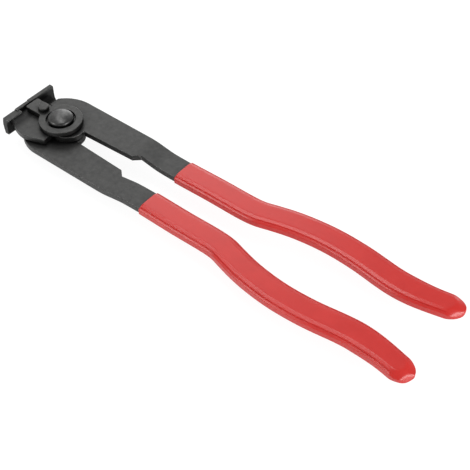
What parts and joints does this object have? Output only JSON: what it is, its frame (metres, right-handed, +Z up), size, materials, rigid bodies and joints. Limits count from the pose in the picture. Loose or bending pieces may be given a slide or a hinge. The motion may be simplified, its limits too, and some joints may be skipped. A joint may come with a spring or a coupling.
{
  "type": "ear clamp pliers",
  "caption": "Hand pliers for closing ear clamps: two stamped steel arms with pinch jaws on a bolt, a guided tongue plate between the jaws and red dipped grips",
  "frame": {"origin": "centre of the pivot bolt's lower end, the lowest point of the tool, on the pivot axis", "axes": "+X from the pivot to the grip ends, with the jaws towards -X; +Y towards the upper arm's handle; +Z up along the pivot axis, towards the bolt head"},
  "size_m": [0.2457, 0.0546, 0.0205],
  "materials": {
    "arm_steel": "black oxide, satin",
    "bolt_steel": "dark, satin",
    "grip_vinyl": "dipped vinyl, soft gloss"
  },
  "bodies": {
    "upper": {"upper_arm": "arm_steel", "upper_grip": "grip_vinyl", "pivot_bolt": "bolt_steel", "flat_washer": "bolt_steel", "lock_nut": "bolt_steel"},
    "lower": {"lower_arm": "arm_steel", "lower_grip": "grip_vinyl"},
    "tongue": {"tongue_plate": "arm_steel", "guide_pin": "arm_steel"}
  },
  "joints": [
    {"name": "jaw_opening", "type": "hinge", "parent": "upper", "child": "lower", "pos_m": [0, 0, 0.0097], "axis": [0, 0, -1], "range_deg": [0, 30]},
    {"name": "tongue_swing", "type": "hinge", "parent": "upper", "child": "tongue", "pos_m": [0, 0, 0.016], "axis": [0, 0, -1], "range_deg": [0, 15]}
  ],
  "couplings": [
    {"joint": "tongue_swing", "follows": "jaw_opening", "ratio": 0.5}
  ]
}
